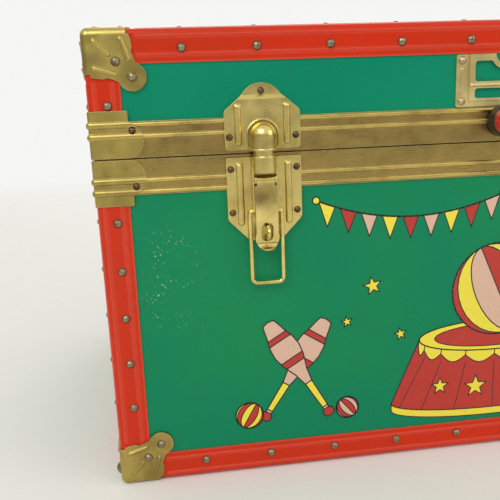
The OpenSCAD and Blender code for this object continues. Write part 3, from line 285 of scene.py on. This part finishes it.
JOINT_Z = (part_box("body_rails")[1].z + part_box("lid_rails")[0].z) / 2
RAIL_BEADS = (13.4 * MM, 20.4 * MM)  # from the joint
BEAD_FADE = (1.0 * MM, 1.9 * MM)
CARD_REACH = 45 * MM
CHECK_PITCH = 12 * MM
WAVES_PER_UNIT = 20  # Blender's wave texture repeats this often for each unit of its scale
WORN_PATCH = (Vector((-0.222, -0.155, 0.143)), Vector((0.027, 0.03, 0.045)))
# The body's enamel is written yellower than the lid's: painted light, a warm bounce from below, not a
# different paint
body_enamel = stoved_enamel("green stoved enamel, body", "#047D58", "#12834E", "#E4E6C4", WORN_PATCH)
lid_enamel = stoved_enamel("green stoved enamel, lid", "#008060", "#068562", "#E4E6C4")
# The red strips get a painted highlight on their beads
strip_enamel = stoved_enamel(
    "red stoved enamel", "#CB2A02", "#BF2B04", "#8A6A52", bead_highlight="#E2604C", shine=0.22
)
brass_plates = plated_brass("brass-plated fittings", "#E2CE80", "#B49C56", 0.26)
# The rails' flat bands are painted darker, a painted highlight on the beads
brass_rails = plated_brass(
    "brass-plated rails", "#D2BA6A", "#9C854C", 0.24, grain_along=(16, 16, 1), speckle=0.5, shaded_flats="#A88E54"
)
brass_caps = plated_brass("brass-plated caps and clamps", "#BEA95E", "#8E7A42", 0.3)
brass_wire = plated_brass("brass-plated wire and pressings", "#E8D486", "#BCA256", 0.17, speckle=0.1)
card_brass = plated_brass("brass-plated card holder", "#F0DE9C", "#CDB678", 0.3)
nickel_rivets = rivet_steel("nickel-plated rivets", "#9C8E74", "#6C5E48", 0.3)
dark_rivets = rivet_steel("oxidised rivets", "#6E5A48", "#40301F", 0.34, middle="#C9B795")
drawn_steel = rivet_steel("drawn steel pins", "#A39C8C", "#6C6354", 0.25)

SLOT_FINISHES = {
    "plywood": birch_plywood(),
    "lining_paper": lining_paper(),
    "green_enamel": body_enamel,
    "red_enamel": strip_enamel,
    "brass_plate": brass_plates,
    "nickel_rivets": nickel_rivets,
    "dark_rivets": dark_rivets,
    "bare_steel": drawn_steel,
    "black_plastic": moulded_plastic("black moulded plastic", "#070708", "#26241F", 0.5),
    "red_plastic": moulded_plastic("red moulded plastic", "#C8101A", "#B06A5E", 0.14),
}
NODE_FINISHES = {
    "lid_top_tin": lid_enamel,
    "lid_front_tin": lid_enamel,
    "lid_back_tin": lid_enamel,
    "lid_end_tins": lid_enamel,
    "lid_rails": brass_rails,
    "body_rails": brass_rails,
    "body_dust_lip": brass_rails,
    "upper_corner_caps": brass_caps,
    "lower_corner_caps": brass_caps,
    "lid_rail_clamps": brass_caps,
    "body_rail_clamps": brass_caps,
    "card_holder": card_brass,
}
for side in ("left", "right"):
    for piece in ("lever", "tongue", "bail", "staple"):
        NODE_FINISHES[f"{side}_latch_{piece}"] = brass_wire

for subpart in frame["record"]["subparts"]:
    name = subpart["node"]
    piece = frame["nodes"][name]
    piece.data.materials.clear()
    piece.data.materials.append(NODE_FINISHES.get(name, SLOT_FINISHES[subpart["material_slot"]]))


# ---- Printed front ----
# Drawn in millimetres on the front tin: x along the front, z up from the floor.
# Later shapes lie over earlier ones.

INKS = {
    "black": printed_ink("black screen ink", "#17130F", "#3A3A30"),
    "red": printed_ink("red screen ink", "#B5210E", "#BE3A20"),
    "yellow": printed_ink("yellow screen ink", "#EBD936", "#DCCB4A"),
    "blush": printed_ink("blush screen ink", "#D6AF96", "#C9A88C"),
}
FRONT_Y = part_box("body_front_tin")[0].y
INK_LIFT = 0.03 * MM
INK_STEP = 0.001 * MM
prints = []


def ink(kind, *outlines):
    """One pass of an ink, over all that was printed before."""
    prints.append((kind, outlines))


def pen(points, width=1.0, closed=False):
    """A black pen line through the points."""
    ends = points[1:] + points[:1] if closed else points[1:]
    strokes = [ellipse(x, z, width / 2, width / 2, 8) for x, z in points]
    for (x0, z0), (x1, z1) in zip(points, ends):
        run = math.hypot(x1 - x0, z1 - z0)
        if run < 0.01:
            continue
        nx, nz = (z0 - z1) / run * width / 2, (x1 - x0) / run * width / 2
        strokes.append([(x0 + nx, z0 + nz), (x0 - nx, z0 - nz), (x1 - nx, z1 - nz), (x1 + nx, z1 + nz)])
    ink("black", *strokes)


def outlined(kind, outline, width=1.0):
    ink(kind, outline)
    pen(outline, width, True)


def ellipse(x, z, half_w, half_h, count=48):
    turns = [2 * math.pi * i / count for i in range(count)]
    return [(x + half_w * math.cos(a), z + half_h * math.sin(a)) for a in turns]


def star(x, z, reach, turn=0.0, inner=0.42):
    spokes = [(reach if i % 2 == 0 else reach * inner, math.radians(90 + 36 * i) + turn) for i in range(10)]
    return [(x + r * math.cos(a), z + r * math.sin(a)) for r, a in spokes]


def turned(points, x, z, angle):
    """Points drawn round 0, 0, turned by angle and moved to x, z."""
    c, s = math.cos(angle), math.sin(angle)
    return [(x + c * px - s * pz, z + s * px + c * pz) for px, pz in points]


def striped_ball(x, z, radius, tilt, kinds, width):
    """A play ball sewn from gores that meet at two poles."""
    gores, steps = 6, 14
    lats = [math.radians(-90 + 180 * i / steps) for i in range(steps + 1)]
    for k in range(gores):
        a, b = (math.radians(-90 + 180 * j / gores) for j in (k, k + 1))
        left = [(radius * math.cos(t) * math.sin(a), radius * math.sin(t)) for t in lats]
        right = [(radius * math.cos(t) * math.sin(b), radius * math.sin(t)) for t in reversed(lats)]
        ink(kinds[k % len(kinds)], turned(left + right, x, z, tilt))
        if k:
            pen(turned(left, x, z, tilt), width * 0.8)
    pen(ellipse(x, z, radius, radius), width, True)


def near_half(x, z, half_w, half_h, start=0.0, stop=1.0, steps=24):
    """Points on the near half of a level ellipse, from its left end at 0 to its right end at 1."""
    turns = [math.pi * (1 + start + (stop - start) * i / steps) for i in range(steps + 1)]
    return [(x + half_w * math.cos(a), z + half_h * math.sin(a)) for a in turns]


def podium(x, z, half_w, height, scallops=8):
    """A round performing stand: flared side with scallops and stars, flat top."""
    top_w, top_h, foot = half_w * 0.74, half_w * 0.15, half_w * 0.13
    low, high = z + foot, z + height
    hem, bulge = 3.5, 5.5
    rim = near_half(x, high, top_w, top_h)
    sill = near_half(x, low, half_w, foot)
    outlined("red", rim + sill[::-1])
    seam_tops = near_half(x, high - hem - bulge, top_w, top_h, steps=scallops)
    seam_feet = near_half(x, low, half_w, foot, steps=scallops)
    for i in range(1, scallops):
        pen([seam_tops[i], seam_feet[i]], 0.6)
    for i in range(scallops):
        reach = (i / scallops, (i + 1) / scallops, 8)
        below = near_half(x, high, top_w * 1.01, top_h, *reach)
        scallop = [(px, pz - hem - bulge * math.sin(math.pi * j / 8)) for j, (px, pz) in enumerate(below)]
        outlined("yellow", scallop + near_half(x, high, top_w, top_h, *reach)[::-1], 0.8)
    outlined("yellow", ellipse(x, high, top_w, top_h))
    outlined("red", ellipse(x, high, top_w * 0.8, top_h * 0.74), 0.8)
    band = [(px, pz - foot * 0.55) for px, pz in sill]
    outlined("yellow", sill + band[::-1], 0.8)
    for share, size in ((-0.6, 6.5), (-0.2, 8.5), (0.22, 8.5), (0.62, 6.5)):
        star_z = low + height * 0.27 - foot * (1 - share**2) * 0.8
        outlined("yellow", star(x + share * half_w * 0.88, star_z, size), 0.8)


# A juggling club's radius at places along it, from the knob
CLUB = [
    (0, 2.6), (2, 3.9), (4.5, 3.6), (6, 2.0), (30, 2.6), (40, 4.6), (50, 8.2), (58, 9.6),
    (65, 9.0), (73, 6.6), (79, 5.2), (82, 4.2), (83, 0),
]
CLUB_GRIP = 41
CLUB_BANDS = (("blush", 0, 83), ("red", 0, 6), ("yellow", 8, 30), ("red", 47, 52), ("red", 67, 71))


def club_slice(start, stop):
    """Both sides of a juggling club between two places on its length."""

    def radius(at):
        for (t0, r0), (t1, r1) in zip(CLUB, CLUB[1:]):
            if t0 <= at <= t1:
                return r0 + (r1 - r0) * (at - t0) / (t1 - t0)
        return 0

    places = [start] + [t for t, _ in CLUB if start < t < stop] + [stop]
    side = [(radius(t), t - CLUB_GRIP) for t in places]
    return side + [(-r, t) for r, t in reversed(side)]


def juggling_club(x, z, lean):
    for kind, start, stop in CLUB_BANDS:
        outlined(kind, turned(club_slice(start, stop), x, z, lean), 0.9)


PENNANT_DROP = 15


def swag(x0, z0, x1, z1, sag, flags, first):
    """A cord hung between two points, with pennants of three colours in turn."""

    def hang(t):
        return x0 + (x1 - x0) * t, z0 + (z1 - z0) * t - 4 * sag * t * (1 - t)

    kinds = ("yellow", "red", "blush")
    for i in range(flags):
        a, b = hang((i + 0.12) / flags), hang((i + 0.88) / flags)
        tip = ((a[0] + b[0]) / 2, (a[1] + b[1]) / 2 - PENNANT_DROP)
        outlined(kinds[(i + first) % 3], [a, b, tip], 0.8)
    pen([hang(i / 32) for i in range(33)], 1.2)
    for end in (0, 1):
        outlined("yellow", ellipse(*hang(end), 2.4, 2.4, 16), 0.8)


STAND_X = 4
HOOP = (142, 66)
STRAY_STARS = (
    (-86, 128, 6.5), (-66, 92, 4.5), (-104, 104, 4), (92, 126, 6.5), (74, 92, 4.5), (112, 112, 4),
)
swag(-124, 188, STAND_X, 186, 13, 9, 0)
swag(STAND_X, 186, 130, 188, 13, 9, 1)
podium(STAND_X, 30, 76, 56)
striped_ball(STAND_X, 119, 33, math.radians(24), ("red", "yellow", "blush"), 1.1)
juggling_club(-141, 72, math.radians(-33))
juggling_club(-137, 72, math.radians(31))
striped_ball(-173, 42, 9.5, math.radians(-30), ("yellow", "red"), 0.9)
striped_ball(-104, 41, 8, math.radians(40), ("blush", "red"), 0.9)
outlined("blush", ellipse(*HOOP, 31, 31))
outlined("red", ellipse(*HOOP, 25, 25))
outlined("yellow", star(*HOOP, 23))
striped_ball(108, 41, 9.5, math.radians(20), ("red", "yellow"), 0.9)
striped_ball(181, 40, 8.5, math.radians(-40), ("blush", "red"), 0.9)
for x, z, reach in STRAY_STARS:
    outlined("yellow", star(x, z, reach, 0.2), 0.7)

ink_meshes = {kind: ([], []) for kind in INKS}
for level, (kind, outlines) in enumerate(prints):
    y = FRONT_Y - INK_LIFT - INK_STEP * level
    corners, faces = ink_meshes[kind]
    for outline in outlines:
        first = len(corners)
        corners.extend((x * MM, y, z * MM) for x, z in outline)
        flat = [Vector((x, z, 0)) for x, z in outline]
        for tri in tessellate_polygon([flat]):
            a, b, c = (flat[i] for i in tri)
            facing = (b - a).cross(c - a).z
            faces.append([first + i for i in (tri if facing > 0 else tri[::-1])])
for kind, (corners, faces) in ink_meshes.items():
    mesh = bpy.data.meshes.new(f"front_print_{kind}")
    mesh.from_pydata(corners, [], faces)
    mesh.materials.append(INKS[kind])
    piece = bpy.data.objects.new(f"front_print_{kind}", mesh)
    bpy.context.scene.collection.objects.link(piece)
    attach(piece, "body")


# ---- Camera, light and floor ----

CAMERA_PLACE = Vector((-0.2159, -0.5370, 0.2456))
YAW, PITCH, ROLL = math.radians(7.1), math.radians(12.74), math.radians(-2.32)
ahead = Vector((math.sin(YAW), math.cos(YAW), 0))
across = Vector((math.cos(YAW), -math.sin(YAW), 0))
up = Vector((0, 0, 1))
aim = ahead * math.cos(PITCH) - up * math.sin(PITCH)
level_top = ahead * math.sin(PITCH) + up * math.cos(PITCH)
camera_right = across * math.cos(ROLL) + level_top * math.sin(ROLL)
camera_top = level_top * math.cos(ROLL) - across * math.sin(ROLL)
camera = bpy.data.objects.new("camera", bpy.data.cameras.new("camera"))
bpy.context.scene.collection.objects.link(camera)
camera.matrix_world = Matrix.Translation(CAMERA_PLACE) @ Matrix(
    (camera_right, camera_top, -aim)
).transposed().to_4x4()
camera.data.sensor_width = 36
camera.data.lens = 44.0
camera.data.clip_start = 0.01
bpy.context.scene.camera = camera


def soft_light(name, place, target, size, power):
    """A studio softbox facing its target."""
    light = bpy.data.objects.new(name, bpy.data.lights.new(name, "AREA"))
    bpy.context.scene.collection.objects.link(light)
    light.location = place
    light.rotation_euler = (Vector(target) - Vector(place)).to_track_quat("-Z", "Y").to_euler()
    light.data.shape = "RECTANGLE"
    light.data.size, light.data.size_y = size
    light.data.energy = power


TRUNK_MIDDLE = (0, 0, 0.15)
soft_light("key softbox", (-0.9, -1.5, 1.5), TRUNK_MIDDLE, (1.2, 0.9), 14)
soft_light("fill softbox", (1.5, -1.2, 0.9), TRUNK_MIDDLE, (1.0, 1.0), 5)
soft_light("back softbox", (0.2, 1.6, 1.5), TRUNK_MIDDLE, (1.4, 0.8), 8)

floor_material, tree, position = new_material("pale floor and backdrop")
diffuse = add(tree, "BsdfDiffuse", Color=colour("#EFEEE9"))
# The far floor and the backdrop fade to a plain white that the camera and gloss see
glow = add(tree, "Emission", Color=colour("#F6F6F4"), Strength=1.0)
far = between(tree, part_of(tree, position, "Y"), 0.7, 2.2)
path = add(tree, "LightPath")
seen = maths(tree, "MAXIMUM", path.outputs["Is Camera Ray"], path.outputs["Is Glossy Ray"])
fade = add(
    tree, "MixShader",
    i0=times(tree, far, seen), i1=diffuse.outputs["BSDF"], i2=glow.outputs["Emission"],
)
add(tree, "OutputMaterial", Surface=fade.outputs["Shader"])
mesh = bmesh.new()
REACH, BEND, WALL = 3.0, 0.6, 2.6
curve = [math.radians(10 * i) for i in range(10)]
profile = [(-REACH, 0.0)]
profile += [(REACH - BEND + BEND * math.sin(a), BEND - BEND * math.cos(a)) for a in curve]
profile += [(REACH, WALL)]
rows = [[mesh.verts.new((x, y, z)) for y, z in profile] for x in (-REACH, REACH)]
for i in range(len(profile) - 1):
    mesh.faces.new((rows[0][i], rows[1][i], rows[1][i + 1], rows[0][i + 1]))
floor_mesh = bpy.data.meshes.new("floor")
mesh.to_mesh(floor_mesh)
mesh.free()
floor_mesh.materials.append(floor_material)
floor = bpy.data.objects.new("floor", floor_mesh)
bpy.context.scene.collection.objects.link(floor)
for face in floor.data.polygons:
    face.use_smooth = True

world = bpy.data.worlds.new("studio")
bpy.context.scene.world = world
world.use_nodes = True
tree = world.node_tree
tree.nodes.clear()
# Gloss sees a dim room at eye level under a bright ceiling, so that the metals keep their contrast
ROOM_LIGHT, CEILING_LIGHT, PLAIN_LIGHT = 0.22, 1.0, 0.8
rise = part_of(tree, add(tree, "TexCoord").outputs["Generated"], "Z")
room = between(tree, rise, 0.0, 0.5, ROOM_LIGHT, CEILING_LIGHT)
glossy = add(tree, "LightPath").outputs["Is Glossy Ray"]
strength = add(tree, "Mix", {"data_type": "FLOAT"}, i0=glossy, i2=PLAIN_LIGHT, i3=room).outputs[0]
background = add(tree, "Background", Color=colour("#F4F3F0"), Strength=strength)
add(tree, "OutputWorld", Surface=background.outputs["Background"])
bpy.context.scene.view_settings.view_transform = "Standard"
